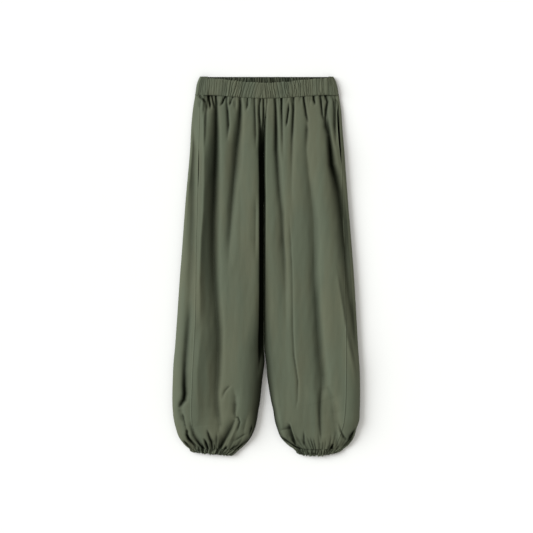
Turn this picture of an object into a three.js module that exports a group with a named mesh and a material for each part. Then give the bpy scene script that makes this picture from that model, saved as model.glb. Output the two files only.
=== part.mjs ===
// Balloon trousers in crisp cotton poplin, laid flat on a table with the front up.
// Millimetres. +Z is up off the table, +Y is towards the waist, and the wearer's right leg is at -X.
// "down" is the distance below the top edge of the waistband, so y = LENGTH / 2 - down.
import * as THREE from 'three';

// Driving sizes
const LENGTH = 987;            // top of the waistband to the lowest point of the ankle hems
const WALL = 1.4;              // leg cloth
const SEAM_GAP = 0.3;          // between pieces that are sewn together
const SIDE_GAP = 0.5;          // at the side seams, measured across the slope of the cloth
const CENTRE_GAP = 0.4;        // between the two legs
const BAND_WALL = 2.4;         // folded waistband casing with the elastic inside it
const BAND_DEPTH = 48;         // top edge to the leg seam, at the side seams
const BAND_DIP = 9;            // how much lower the leg seam lies at the centre front
const BAND_OPEN = 12;          // how far the front top edge lies below the back one at the centre front
const BAND_RISE = 12;          // height of the flattened band off the table
const BAND_RIBS = 40;          // elastic gathers across each half
const RIB_HEIGHT = 1.1;
const RIB_LEAN = 10;           // how far a rib's top stands aside of its foot
const CROTCH = 321;            // down to the crotch, where the four leg panels meet
const ANKLE = 968;             // down to the ankle seam
const CUFF_WALL = 2;           // folded ankle casing with its elastic
const CUFF_RISE = 10;          // height of the ankle opening at the hem
const CUFF_RIBS = 20;          // elastic gathers all round
const CUFF_RIB_HEIGHT = 1.2;

// How finely the pieces are laid out
const LEG_ROWS = 34;
const FRONT_COLUMNS = 22;
const WRAP_COLUMNS = 4;
const FLOOR_COLUMNS = 9;
const BAND_END_COLUMNS = 3;
const BAND_TURN_COLUMNS = 4;
const BACK_BAND_COLUMNS = 56;

// Colours of the cloth, lit and in the casings
const OLIVE = 0x5a624b;
const OLIVE_CASING = 0x555d48;
const OLIVE_INSIDE = 0x474e3b;

// Outline and height of both legs: the outer and inner edges of each, as x, then the height of the crown,
// of the outer edge's turn and of the front's inner edge
const LEGS = {
  columns: ['down', 'rightOuter', 'rightInner', 'leftInner', 'leftOuter', 'crown', 'turn', 'innerTop'],
  rows: [
    [48, -185, 4, 4, 189, 12, 6, 11],
    [87, -191, 0, 0, 195, 15, 7, 11],
    [130, -195, -4, -4, 198, 20, 8, 9],
    [190, -198, -6, -6, 203, 26, 9, 6],
    [260, -204, -6, -6, 208, 28, 10, 5],
    [314, -209, -5, -5, 212, 29, 10, 4.5],
    [425, -217, -5, -5, 221, 30, 11, 6],
    [529, -225, -5, -5, 229, 31, 11, 6],
    [633, -232, -5, -5, 235, 32, 12, 7],
    [703, -237, -6, -4, 239, 32, 12, 8],
    [763, -242, -14, 2, 243, 33, 12, 9],
    [802, -243, -11, 7, 244, 33, 12, 9],
    [841, -244, -12, 11, 244, 33, 12, 10],
    [867, -243, -20, 16, 243, 32, 12, 10],
    [893, -240, -24, 20, 241, 31, 12, 10],
    [914, -235, -30, 26, 236, 28, 11, 10],
    [935, -228, -40, 35, 228, 25, 10, 9],
    [948, -221, -50, 46, 220, 21, 9, 8],
    [960, -210, -62, 58, 209, 17, 8, 7],
    [968, -197, -74, 74, 197, 14, 7, 7],
  ],
};

// Side seams on top of the laid garment, as x
const SIDE_SEAMS = {
  columns: ['down', 'right', 'left'],
  rows: [
    [48, -151, 162],
    [61, -170, 184],
    [100, -173, 188],
    [217, -176, 195],
    [321, -178, 198],
    [451, -181, 202],
    [633, -184, 206],
    [802, -192, 206],
    [900, -192, 200],
    [968, -172, 178],
  ],
};

// Folds of the front, one row for each. A point is x, down, depth and half width; a negative depth is a
// ridge. Lean over 0 makes the side towards +X the steeper one.
const FOLDS = [
  { name: 'right_side_tuck', lean: 0, points: [[-164, 52, 2, 7], [-164, 80, 4, 7], [-165, 112, 0, 8]] },
  { name: 'right_pocket_tuck', lean: 0, points: [[-147, 52, 3, 7], [-157, 100, 5, 8], [-162, 191, 0, 9]] },
  { name: 'right_hip_fold', lean: 0.1, points: [[-128, 51, 4, 8], [-132, 87, 10, 9], [-132, 191, 15, 11],
    [-138, 243, 13, 12], [-147, 310, 9, 16], [-154, 451, 7, 20], [-154, 581, 6, 22], [-147, 700, 5, 22],
    [-146, 872, 4, 18], [-143, 966, 5, 10]] },
  { name: 'right_thigh_tuck', lean: 0.2, points: [[-107, 55, 3, 7], [-99, 108, 6, 9], [-105, 191, 5, 10],
    [-112, 282, 0, 12]] },
  { name: 'right_short_tuck', lean: 0, points: [[-87, 53, 3, 7], [-88, 88, 0, 8]] },
  { name: 'right_centre_fold', lean: 0.3, points: [[-69, 53, 4, 8], [-68, 74, 7, 9], [-76, 139, 12, 11],
    [-79, 191, 10, 13], [-88, 270, 6, 17], [-101, 425, 0, 22]] },
  { name: 'right_inner_tuck', lean: 0, points: [[-46, 54, 3, 7], [-50, 92, 0, 8]] },
  { name: 'right_front_tuck', lean: 0, points: [[-33, 56, 2, 7], [-29, 113, 5, 8], [-24, 190, 0, 9]] },
  { name: 'left_front_tuck', lean: 0, points: [[22, 58, 3, 7], [25, 139, 6, 9], [28, 210, 5, 10],
    [34, 321, 3, 13], [44, 477, 0, 16]] },
  { name: 'left_inner_tuck', lean: 0, points: [[44, 58, 3, 7], [41, 110, 4, 8], [41, 191, 0, 8]] },
  { name: 'left_centre_fold', lean: 0, points: [[70, 52, 3, 7], [68, 139, 6, 9], [63, 220, 4, 10],
    [63, 482, 2, 11], [72, 700, 3, 11], [80, 815, 0, 12]] },
  { name: 'left_thigh_fold', lean: 0, points: [[96, 54, 4, 7], [109, 110, 6, 9], [101, 191, 6, 15],
    [101, 321, 6, 20], [116, 581, 6, 24], [129, 711, 6, 24], [137, 841, 6, 18], [135, 914, 7, 12],
    [135, 966, 4, 9]] },
  { name: 'left_short_tuck', lean: 0, points: [[122, 52, 3, 7], [126, 87, 4, 8], [122, 139, 0, 9]] },
  { name: 'left_pocket_tuck', lean: 0, points: [[141, 51, 4, 7], [143, 80, 6, 8], [150, 130, 0, 9]] },
  { name: 'left_hip_fold', lean: -0.1, points: [[158, 66, 4, 8], [155, 95, 8, 9], [161, 152, 14, 10],
    [163, 190, 15, 11], [176, 269, 14, 12], [187, 321, 11, 13], [197, 400, 7, 14], [207, 503, 4, 15],
    [214, 581, 0, 15]] },
  { name: 'right_calf_fold', lean: 0, points: [[-201, 580, 0, 14], [-205, 690, 7, 14], [-213, 763, 9, 12],
    [-217, 820, 8, 11], [-222, 862, 0, 9]] },
  { name: 'right_calf_ridge', lean: 0, points: [[-176, 620, 0, 12], [-186, 711, -3, 12], [-196, 800, -3, 12],
    [-204, 870, 0, 12]] },
  { name: 'left_calf_fold', lean: 0, points: [[198, 590, 0, 10], [209, 680, 4, 11], [222, 789, 0, 11]] },
  { name: 'right_outer_pleat', lean: 0, points: [[-210, 893, 0, 9], [-205, 930, 6, 9], [-186, 962, 4, 8]] },
  { name: 'right_ankle_pleat', lean: 0, points: [[-196, 888, 0, 9], [-186, 937, 5, 9], [-164, 964, 4, 8]] },
  { name: 'right_inner_pleat', lean: 0, points: [[-83, 872, 0, 9], [-99, 914, 7, 11], [-115, 942, 7, 11],
    [-123, 964, 4, 9]] },
  { name: 'right_inseam_pleat', lean: 0, points: [[-66, 905, 0, 9], [-80, 940, 5, 9], [-97, 964, 3, 8]] },
  { name: 'left_inseam_pleat', lean: 0, points: [[40, 893, 0, 9], [58, 922, 7, 11], [74, 948, 6, 10],
    [90, 964, 3, 8]] },
  { name: 'left_inner_pleat', lean: 0, points: [[96, 888, 0, 9], [97, 930, 5, 9], [108, 964, 4, 8]] },
  { name: 'left_ankle_pleat', lean: 0, points: [[165, 855, 0, 9], [175, 900, 7, 10], [174, 940, 6, 9],
    [164, 964, 4, 8]] },
  { name: 'left_outer_pleat', lean: 0, points: [[190, 888, 0, 9], [198, 925, 6, 9], [186, 962, 4, 8]] },
];

// Ends of each ankle casing at its hem, as x, and how far down the hem lies there and in the middle
const CUFFS = {
  right: { outer: -190, inner: -89, outerDown: 977, middleDown: 983, innerDown: 986 },
  left: { outer: 186, inner: 84, outerDown: 977, middleDown: 987, innerDown: 982 },
};

// Ends of the waistband, as x
const BAND_ENDS = {
  columns: ['down', 'right', 'left'],
  rows: [[0, -173, 175], [17, -180, 183], [48, -185, 189]],
};

// The waistband's side seams, as x
const BAND_SEAMS = { right: -151, left: 162 };

// Pocket openings in the side seams, from and to, as down, with how wide each one gapes
const POCKETS = {
  right: { from: 190, to: 290, gape: 2 },
  left: { from: 72, to: 232, gape: 3 },
};

const clamp01 = (t) => Math.min(1, Math.max(0, t));
const smooth = (t) => clamp01(t) ** 2 * (3 - 2 * clamp01(t));
const mix = (a, b, t) => a + (b - a) * t;

// Value of one column of a table at a distance down, on a smooth curve through its rows
function lookUp(table, column, down) {
  const c = table.columns.indexOf(column);
  const rows = table.rows;
  let i = rows.findIndex((row) => row[0] > down) - 1;
  if (i < 0) i = down < rows[0][0] ? 0 : rows.length - 2;
  const row = (k) => rows[Math.min(rows.length - 1, Math.max(0, k))];
  const slope = (k) => (row(k + 1)[c] - row(k - 1)[c]) / (row(k + 1)[0] - row(k - 1)[0]);
  const step = row(i + 1)[0] - row(i)[0];
  const t = clamp01((down - row(i)[0]) / step);
  const rise = 3 * t ** 2 - 2 * t ** 3;
  return mix(row(i)[c], row(i + 1)[c], rise) +
    step * ((t ** 3 - 2 * t ** 2 + t) * slope(i) + (t ** 3 - t ** 2) * slope(i + 1));
}

// Depth that one fold takes out of the cloth at a point. It fades out just past the fold's ends.
const FOLD_FADE = 10;

function foldDepth(fold, x, down) {
  const p = fold.points;
  const last = p.length - 1;
  if (down < p[0][1] - FOLD_FADE || down > p[last][1] + FOLD_FADE) return 0;
  let i = 0;
  while (i < last - 1 && down > p[i + 1][1]) i += 1;
  const t = clamp01((down - p[i][1]) / (p[i + 1][1] - p[i][1]));
  const [centre, depth, width] = [0, 2, 3].map((c) => mix(p[i][c], p[i + 1][c], t));
  const side = x > centre ? 1 - fold.lean : 1 + fold.lean;
  const beyond = Math.max(p[0][1] - down, down - p[last][1], 0);
  return depth * (1 - beyond / FOLD_FADE) * Math.exp(-1.1 * Math.abs((x - centre) / (width * side)) ** 1.7);
}

// A hump that is 1 at the centre front and 0 at a distance from it
const hump = (x, reach) => (1 + Math.cos(Math.PI * Math.min(1, Math.abs(x) / reach))) / 2;
const frontSeamDown = (x) => BAND_DEPTH + BAND_DIP * hump(x, -BAND_ENDS.rows[0][1]);
const frontTopDown = (x) => BAND_OPEN * (0.25 + hump(x, -BAND_ENDS.rows[0][1]));

// How far in from the edges the top rounds off and the underside turns up, and the lowest that the bottom
// of a front fold may lie over the back panel
const OUTER_ROLL = 42;
const INNER_ROLL = 46;
const UNDER_ROLL = 20;
const LEAST_FRONT = 3.6;
const EASE = 2;
const arc = (t) => Math.sqrt(1 - (1 - clamp01(t)) ** 2);
const spread = (t) => 0.5 * t + 0.25 * (1 - Math.cos(Math.PI * t));

// Height of the back's inner edge: flat on the table down to the crotch, then up against the front's
const CLOSING = 14;
const innerUnderHeight = (down) => lookUp(LEGS, 'innerTop', down) * smooth((down - CROTCH) / CLOSING + 0.5);

// Point of one leg's section. Round runs from 0 at the inseam, over the top, to 1 at the outer edge, and
// on to 2 at the inseam again, under the leg.
function legPoint(side, round, down) {
  const inner = lookUp(LEGS, `${side}Inner`, down);
  const outer = lookUp(LEGS, `${side}Outer`, down);
  const width = Math.abs(outer - inner) - CENTRE_GAP / 2;
  const over = round <= 1;
  const fromInner = width * (over ? spread(Math.max(0, round)) : 1 - spread(Math.min(1, round - 1)));
  const fromOuter = width - fromInner;
  const out = Math.sign(outer);
  const x = outer - out * fromOuter;
  const turn = lookUp(LEGS, 'turn', down);
  if (!over) {
    const innerUnder = innerUnderHeight(down);
    const z = turn * (1 - arc(fromOuter / UNDER_ROLL)) + innerUnder * (1 - arc(fromInner / UNDER_ROLL));
    return new THREE.Vector3(x, LENGTH / 2 - down, z);
  }
  const crown = lookUp(LEGS, 'crown', down);
  const innerTop = lookUp(LEGS, 'innerTop', down) + SEAM_GAP;
  const outerArc = arc(fromOuter / Math.min(OUTER_ROLL, width / 2));
  const innerArc = arc(fromInner / Math.min(INNER_ROLL, width / 2));
  const edge = mix(turn, innerTop, fromOuter / width);
  const folds = FOLDS.reduce((sum, fold) => sum + foldDepth(fold, x, down), 0);
  const full = edge + (crown - edge) * outerArc * innerArc;
  const creased = full - folds * Math.min(outerArc, innerArc) ** 2;
  const spare = creased - LEAST_FRONT;
  const eased = LEAST_FRONT + (spare > EASE ? spare : EASE * Math.exp(spare / EASE - 1));
  return new THREE.Vector3(x, LENGTH / 2 - down, eased);
}

// The same section carried on past the inseam, so that the two edges that meet there face the same way
function legAround(side, round, down) {
  if (round < 0) return legPoint(side, round + 2, down);
  const closed = innerUnderHeight(down) > WALL;
  return legPoint(side, round > 2 && closed ? round - 2 : Math.min(2, round), down);
}

// Place round the leg of the side seam, found by halving
function seamRound(side, down) {
  const seam = Math.abs(lookUp(SIDE_SEAMS, side, down));
  let [low, high] = [0, 1];
  for (let step = 0; step < 24; step += 1) {
    const middle = (low + high) / 2;
    if (Math.abs(legPoint(side, middle, down).x) < seam) low = middle;
    else high = middle;
  }
  return low;
}

// Closed wall between an outer and an inner grid of points. A ring joins its last column to its first.
function wall(outer, inner, ring = false) {
  const rows = outer.length;
  const columns = outer[0].length;
  const count = rows * columns;
  const positions = [...outer.flat(), ...inner.flat()].flatMap((p) => [p.x, p.y, p.z]);
  const faces = [];
  const quad = (a, b, c, d) => faces.push(a, b, c, a, c, d);
  const lastColumn = ring ? columns : columns - 1;
  const at = (r, c) => r * columns + (c % columns);
  for (let r = 0; r < rows - 1; r += 1) {
    for (let c = 0; c < lastColumn; c += 1) {
      quad(at(r, c), at(r + 1, c), at(r + 1, c + 1), at(r, c + 1));
      quad(count + at(r, c), count + at(r, c + 1), count + at(r + 1, c + 1), count + at(r + 1, c));
    }
  }
  for (let c = 0; c < lastColumn; c += 1) {
    quad(at(0, c), at(0, c + 1), count + at(0, c + 1), count + at(0, c));
    quad(at(rows - 1, c + 1), at(rows - 1, c), count + at(rows - 1, c), count + at(rows - 1, c + 1));
  }
  if (!ring) {
    for (let r = 0; r < rows - 1; r += 1) {
      quad(at(r + 1, 0), at(r, 0), count + at(r, 0), count + at(r + 1, 0));
      const [upper, lower] = [at(r, columns - 1), at(r + 1, columns - 1)];
      quad(upper, lower, count + lower, count + upper);
    }
  }
  if (signedVolume(positions, faces) < 0) faces.reverse();
  const geometry = new THREE.BufferGeometry();
  geometry.setAttribute('position', new THREE.Float32BufferAttribute(positions, 3));
  geometry.setIndex(faces);
  geometry.computeVertexNormals();
  return geometry;
}

function signedVolume(positions, faces) {
  const point = (i) => new THREE.Vector3().fromArray(positions, 3 * i);
  let volume = 0;
  for (let i = 0; i < faces.length; i += 3) {
    volume += point(faces[i]).dot(point(faces[i + 1]).cross(point(faces[i + 2]))) / 6;
  }
  return volume;
}

// Distance down of a row of a leg. Rows are closer at the waist and ankle, where the cloth is gathered.
const CROWDING = 0.09;
function rowDown(row) {
  const t = row / LEG_ROWS;
  return mix(BAND_DEPTH, ANKLE, t - CROWDING * Math.sin(2 * Math.PI * t));
}

// Point of a leg at a row. On top, the first rows follow the dip of the waistband's seam.
const DIPPING_ROWS = 4;
function rowPoint(side, round, row) {
  const level = legAround(side, round, rowDown(row));
  if (round > 1 || row > DIPPING_ROWS) return level;
  const dip = (frontSeamDown(level.x) - BAND_DEPTH) * (1 - smooth(row / DIPPING_ROWS));
  return legAround(side, round, rowDown(row) + dip);
}

// Direction out of the cloth at a place round a row, from the points on both sides of it
const ROUND_STEP = 0.012;
const ROW_STEP = 0.3;
function rowNormal(side, round, row) {
  const across = rowPoint(side, round + ROUND_STEP, row).sub(rowPoint(side, round - ROUND_STEP, row));
  const along = rowPoint(side, round, row + ROW_STEP).sub(rowPoint(side, round, row - ROW_STEP));
  const normal = across.cross(along).normalize();
  if (row === 0 || row === LEG_ROWS) normal.setY(0).normalize();
  const toOuter = side === 'left' ? 1 : -1;
  const sideways = Math.abs(round - 1) < 2 * ROUND_STEP ? toOuter : 0;
  const inwards = Math.min(round, 2 - round) < 2 * ROUND_STEP ? toOuter : 0;
  const away = new THREE.Vector3(sideways - inwards, 0, round <= 1 ? 1 : -1);
  return normal.dot(away) < 0 ? normal.negate() : normal;
}

// Wall of a leg panel. Rounds gives the places round the leg of one row's columns, and sink says how far
// inside the leg's surface the wall's outer side lies.
function legPanel(side, rounds, sink = 0, firstRow = 0, lastRow = LEG_ROWS) {
  const outer = [];
  const inner = [];
  for (let row = firstRow; row <= lastRow; row += 1) {
    const places = rounds(row).map((round) => ({
      point: rowPoint(side, round, row),
      normal: rowNormal(side, round, row),
    }));
    outer.push(places.map(({ point, normal }) => point.clone().addScaledVector(normal, -sink)));
    inner.push(places.map(({ point, normal }) => point.clone().addScaledVector(normal, -sink - WALL)));
  }
  return wall(outer, inner);
}

// How far a pocket's opening gapes at a row, as a share of the way round the leg
function pocketGape(side, down) {
  const { from, to, gape } = POCKETS[side];
  const open = gape * Math.sin(Math.PI * clamp01((down - from) / (to - from)));
  const width = Math.abs(lookUp(LEGS, `${side}Outer`, down) - lookUp(LEGS, `${side}Inner`, down));
  return (open + SIDE_GAP) / width;
}

const range = (count) => Array.from({ length: count + 1 }, (_, i) => i / count);

function frontRounds(side, row) {
  const down = rowDown(row);
  const end = seamRound(side, down) - pocketGape(side, down);
  return range(FRONT_COLUMNS).map((t) => t * end);
}

function wrapRounds(side, row) {
  const start = seamRound(side, rowDown(row));
  return range(WRAP_COLUMNS).map((t) => mix(start, 1, t));
}

const frontPanel = (side) => legPanel(side, (row) => frontRounds(side, row));

// The back panel comes round the outer edge on to the top, up to the side seam
function backPanel(side) {
  const floor = range(FLOOR_COLUMNS).slice(1).map((t) => 1 + t);
  return legPanel(side, (row) => [...wrapRounds(side, row), ...floor]);
}

// Strip under a pocket's opening, made from the points of the two panels that it joins
function pocketFacing(side) {
  const { from, to } = POCKETS[side];
  const downs = Array.from({ length: LEG_ROWS }, (_, row) => rowDown(row));
  const first = downs.findIndex((down) => down > from) - 1;
  const last = downs.findIndex((down) => down > to);
  const rounds = (row) => [...frontRounds(side, row).slice(-3), ...wrapRounds(side, row).slice(0, 3)];
  return legPanel(side, rounds, WALL + 2 * SEAM_GAP, first, last);
}

// Wall on a grid of plain points, whose columns run round the garment with the outside on their right.
// Raise gives how far the outer and the inner point of a row and column stand out of the plain wall.
function gatheredWall(grid, thickness, raise, ring = false) {
  const outer = [];
  const inner = [];
  grid.forEach((points, row) => {
    const count = points.length;
    const near = (c) => points[ring ? (c + count) % count : Math.min(count - 1, Math.max(0, c))];
    const moved = (out) => points.map((point, c) => {
      const across = near(c + 1).clone().sub(near(c - 1));
      const normal = new THREE.Vector3(across.z, 0, -across.x).normalize();
      return point.clone().addScaledVector(normal, out(raise(row, c, point)));
    });
    outer.push(moved((raised) => raised.outer));
    inner.push(moved((raised) => -thickness - raised.inner));
  });
  return wall(outer, inner, ring);
}

// Uneven height of a gather: every second column is a rib's top
const ribTop = (c) => (c % 2) * (0.75 + 0.25 * Math.sin(1.9 * c));

// Point of the flattened waistband. Place runs once round it in five stretches: right front end, right
// edge, back, left edge, left front end; and the sixth is the front half.
function bandPoint(place, down, seamShift) {
  const half = BAND_RISE / 2;
  const [right, left] = [lookUp(BAND_ENDS, 'right', down) + half, lookUp(BAND_ENDS, 'left', down) - half];
  const [rightSeam, leftSeam] = [BAND_SEAMS.right + seamShift, BAND_SEAMS.left - seamShift];
  const stretch = Math.min(5, Math.floor(place));
  const t = place - stretch;
  const turn = Math.PI * (t - 0.5);
  const stretches = [
    () => [mix(rightSeam, right, t), BAND_RISE],
    () => [right - half * Math.cos(turn), half - half * Math.sin(turn)],
    () => [mix(right, left, t), 0],
    () => [left + half * Math.cos(turn), half + half * Math.sin(turn)],
    () => [mix(left, leftSeam, t), BAND_RISE],
    () => [mix(leftSeam, rightSeam, t), BAND_RISE],
  ];
  const [x, z] = stretches[stretch]();
  return new THREE.Vector3(x, LENGTH / 2 - down, z);
}

// Rows of the waistband as shares of its depth, and how much of a rib's height each one shows
const BAND_ROWS = [0, 0.15, 0.5, 0.85, 1];
const RIB_FADE = [0.5, 1, 0.8, 1, 0.4];

// Front half: its ribs lean in towards a place just left of the centre at the top, and its top edge dips
const LEAN_CENTRE = 40;
function frontBand() {
  const grid = BAND_ROWS.map((t) => range(2 * BAND_RIBS).map((across) => {
    const rib = bandPoint(5 + across, 0, SEAM_GAP / 2).x;
    const lean = RIB_LEAN * Math.sin(Math.PI * across) * (rib < LEAN_CENTRE ? 1 : -0.5);
    const x = rib + lean * (0.5 - t);
    const down = mix(frontTopDown(x), frontSeamDown(x) - SEAM_GAP, t);
    return bandPoint(5 + across, down, SEAM_GAP / 2).setX(x);
  }));
  const raise = (row, c) => ({ outer: RIB_HEIGHT * RIB_FADE[row] * ribTop(c), inner: 0 });
  return gatheredWall(grid, BAND_WALL, raise);
}

// Back half: flat on the table, with its ribs raised on the inside, which shows above the front half
function backBand() {
  const edge = [BAND_END_COLUMNS, BAND_TURN_COLUMNS];
  const counts = [...edge, BACK_BAND_COLUMNS, ...edge.reverse()];
  const places = counts.flatMap((count, i) => range(count).slice(i ? 1 : 0).map((t) => i + t));
  const depth = BAND_DEPTH - SEAM_GAP;
  const grid = BAND_ROWS.map((t) => places.map((place) => bandPoint(place, t * depth, -SEAM_GAP / 2)));
  return gatheredWall(grid, BAND_WALL, (row, c, point) => {
    const rib = RIB_HEIGHT * RIB_FADE[row] * ribTop(c);
    return { outer: point.z > BAND_RISE - 1 ? rib : 0, inner: point.z < 1 ? rib : 0 };
  });
}

// Ankle casing: a gathered ring from the leg's last section to its own flatter hem
function cuff(side) {
  const { outer, inner, outerDown, middleDown, innerDown } = CUFFS[side];
  const columns = Array.from({ length: 2 * CUFF_RIBS }, (_, c) => c / CUFF_RIBS);
  const rounds = side === 'right' ? columns : columns.map((round) => 2 - round);
  const half = CUFF_RISE / 2;
  const hemPoint = (round) => {
    const t = spread(round <= 1 ? round : 2 - round);
    const x = mix(inner, outer, t);
    const sag = 4 * t * (1 - t) * (middleDown - (innerDown + outerDown) / 2);
    const down = mix(innerDown, outerDown, t) + sag;
    const bend = half * arc(Math.min(t, 1 - t) * Math.abs(outer - inner) / CUFF_RISE);
    return new THREE.Vector3(x, LENGTH / 2 - down, round <= 1 ? half + bend : half - bend);
  };
  const top = rounds.map((round) => legPoint(side, round, ANKLE + SEAM_GAP));
  const hem = rounds.map(hemPoint);
  const middle = top.map((point, c) => point.clone().lerp(hem[c], 0.5));
  const fade = [0.3, 1, 0.6];
  const raise = (row, c, point) => {
    const rib = CUFF_RIB_HEIGHT * fade[row] * ribTop(c);
    return { outer: point.z > half ? rib : 0, inner: 0 };
  };
  return gatheredWall([top, middle, hem], CUFF_WALL, raise, true);
}

const cloth = (color) => new THREE.MeshStandardMaterial({ color, roughness: 0.85, metalness: 0 });
const trousers = new THREE.Group();

function add(name, geometry, color) {
  const mesh = new THREE.Mesh(geometry, cloth(color));
  mesh.name = name;
  trousers.add(mesh);
}

for (const side of ['right', 'left']) {
  add(`front_${side}`, frontPanel(side), OLIVE);
  add(`back_${side}`, backPanel(side), OLIVE);
  add(`pocket_facing_${side}`, pocketFacing(side), OLIVE_INSIDE);
  add(`cuff_${side}`, cuff(side), OLIVE_CASING);
}
add('waistband_front', frontBand(), OLIVE_CASING);
add('waistband_back', backBand(), OLIVE_CASING);

export default trousers;
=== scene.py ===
"""Olive balloon trousers in crisp cotton poplin, laid flat with the front up, seen from straight above.

Shapes are worked out in millimetres and stored in metres. x runs towards the wearer's left leg, and
"down" is the distance below the top edge of the waistband, so y = LENGTH / 2 - down.
"""
import math

import bpy
import numpy as np
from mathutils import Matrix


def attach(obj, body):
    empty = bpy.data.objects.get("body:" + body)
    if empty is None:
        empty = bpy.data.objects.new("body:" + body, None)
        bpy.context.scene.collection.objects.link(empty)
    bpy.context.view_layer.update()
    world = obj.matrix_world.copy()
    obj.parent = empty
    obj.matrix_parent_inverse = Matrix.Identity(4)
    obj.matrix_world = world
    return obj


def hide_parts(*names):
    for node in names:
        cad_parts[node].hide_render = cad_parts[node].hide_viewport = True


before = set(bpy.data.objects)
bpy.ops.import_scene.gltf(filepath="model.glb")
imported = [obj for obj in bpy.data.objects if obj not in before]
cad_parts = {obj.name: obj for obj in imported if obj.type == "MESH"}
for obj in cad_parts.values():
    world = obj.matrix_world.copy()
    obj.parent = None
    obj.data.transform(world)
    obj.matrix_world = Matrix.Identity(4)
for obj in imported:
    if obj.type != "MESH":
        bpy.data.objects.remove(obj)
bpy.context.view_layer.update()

# Camera
# The photograph looks straight down on the garment from a tripod a few metres above the table.
PHOTO_PIXELS = 533
MM_PER_PIXEL = 2.6
LENS = 100.0
SENSOR = 36.0
LOOK_AT = (0.0008, -0.0002)
MID_HEIGHT = 0.01

photo_width = PHOTO_PIXELS * MM_PER_PIXEL / 1000
camera_data = bpy.data.cameras.new("overhead_camera")
camera_data.lens = LENS
camera_data.sensor_width = SENSOR
camera = bpy.data.objects.new("overhead_camera", camera_data)
camera.location = (*LOOK_AT, photo_width * LENS / SENSOR + MID_HEIGHT)
bpy.context.collection.objects.link(camera)
bpy.context.scene.camera = camera

# Table and light
# A white table, one broad soft lamp at the upper left and an even white room around it.
TABLE_COLOUR = (0.59, 0.59, 0.59, 1)
TABLE_SIZE = 14
TABLE_LEVEL = -0.0004
ROOM_COLOUR = (1.0, 0.99, 0.935, 1)
ROOM_STRENGTH = 0.92
LAMP_STRENGTH = 4.9
LAMP_COLOUR = (0.97, 1.0, 1.01)
LAMP_SPREAD = math.radians(46)
LAMP_RISE = math.radians(32)
LAMP_BEARING = math.radians(158)

bpy.context.scene.view_settings.view_transform = "Standard"
bpy.ops.mesh.primitive_plane_add(size=TABLE_SIZE, location=(0, 0, TABLE_LEVEL))
table = bpy.context.object
table.name = "table_top"
table_finish = bpy.data.materials.new("white_table")
table_finish.use_nodes = True
for entry, value in (("Base Color", TABLE_COLOUR), ("Roughness", 0.9), ("Specular IOR Level", 0.1)):
    table_finish.node_tree.nodes["Principled BSDF"].inputs[entry].default_value = value
table.data.materials.append(table_finish)

lamp_data = bpy.data.lights.new("soft_lamp", "SUN")
lamp_data.energy = LAMP_STRENGTH
lamp_data.angle = LAMP_SPREAD
lamp_data.color = LAMP_COLOUR
lamp = bpy.data.objects.new("soft_lamp", lamp_data)
lamp.rotation_euler = (0, math.pi / 2 - LAMP_RISE, LAMP_BEARING)
bpy.context.collection.objects.link(lamp)
room = bpy.data.worlds.new("white_room")
room.use_nodes = True
for entry, value in (("Color", ROOM_COLOUR), ("Strength", ROOM_STRENGTH)):
    room.node_tree.nodes["Background"].inputs[entry].default_value = value
bpy.context.scene.world = room

# Front leg panels
# Each front is one piece of poplin from the waistband to the ankle, joined to the other down the centre
# front and gathered at both ends, so it puffs up over the back and falls into long soft folds.
LENGTH = 987.0
CLOTH = 0.9
SEAM_GAP = 0.3
SIDE_GAP = 0.12
CENTRE_GAP = 0.12
BAND_DEPTH = 48.0
BAND_DIP = 9.0
DIP_FADE = 45.0
BAND_END = 173.0
ANKLE = 968.0
CROTCH = 321.0
CLOSING = 14.0
JOINED_FADE = 60.0
UNDER_ROLL = 20.0
LEAST_FRONT = 3.6
EASE = 2.0
OUTER_ROLL = 42.0
EDGE_FIRMNESS = 1.6
CALM_ENDS = 30.0
EVENNESS = 0.75
END_CROWDING = 0.07
CENTRE_CROWDING = 0.6
# The wearer's sides, and the sign of x there
SIDES = {"right": -1, "left": 1}
SIDE_COLUMNS = ("down", "right", "left")
INNER_ROLLS = [(48, 34, 8), (600, 34, 8), (720, 66, 18), (800, 78, 24), (880, 56, 20), (968, 30, 22)]

# Edges of both legs as x, then the heights of the crown, of the outer edge's turn and of the inner edge
LEG_COLUMNS = ("down", "right_outer", "right_inner", "left_inner", "left_outer", "crown", "turn", "inner")
LEG_TABLE = [
    (48, -185, 4, 4, 189, 12, 6, 11),
    (87, -191, 0, 0, 195, 15, 7, 11),
    (130, -195, -4, -4, 198, 20, 8, 9),
    (190, -198, -6, -6, 203, 26, 9, 6),
    (260, -204, -6, -6, 208, 28, 10, 5),
    (314, -209, -5, -5, 212, 29, 10, 4.5),
    (425, -217, -5, -5, 221, 30, 11, 6),
    (529, -225, -5, -5, 229, 31, 11, 6),
    (633, -232, -5, -5, 235, 32, 12, 7),
    (703, -237, -5, -4.4, 239, 32, 12, 8),
    (745, -241, -4.8, -0.2, 242, 33, 12, 9),
    (789, -243, -10.2, 3.8, 244, 33, 12, 9),
    (841, -244, -15.5, 12.2, 244, 33, 12, 10),
    (867, -243, -20, 18, 243, 32, 12, 10),
    (893, -240, -24, 22, 242, 31, 12, 10),
    (914, -235, -29, 28, 235, 28, 11, 10),
    (935, -228, -38, 36, 229, 25, 10, 9),
    (948, -220, -47, 46, 222, 21, 9, 8),
    (960, -210, -58, 59, 212, 17, 8, 7),
    (968, -200, -67, 71, 201, 14, 7, 7),
]
SIDE_SEAMS = [
    (48, -151, 162), (61, -170, 184), (100, -173, 188), (217, -176, 195), (321, -178, 198),
    (451, -181, 202), (633, -184, 206), (802, -192, 206), (900, -192, 200), (968, -172, 178),
]

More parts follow.
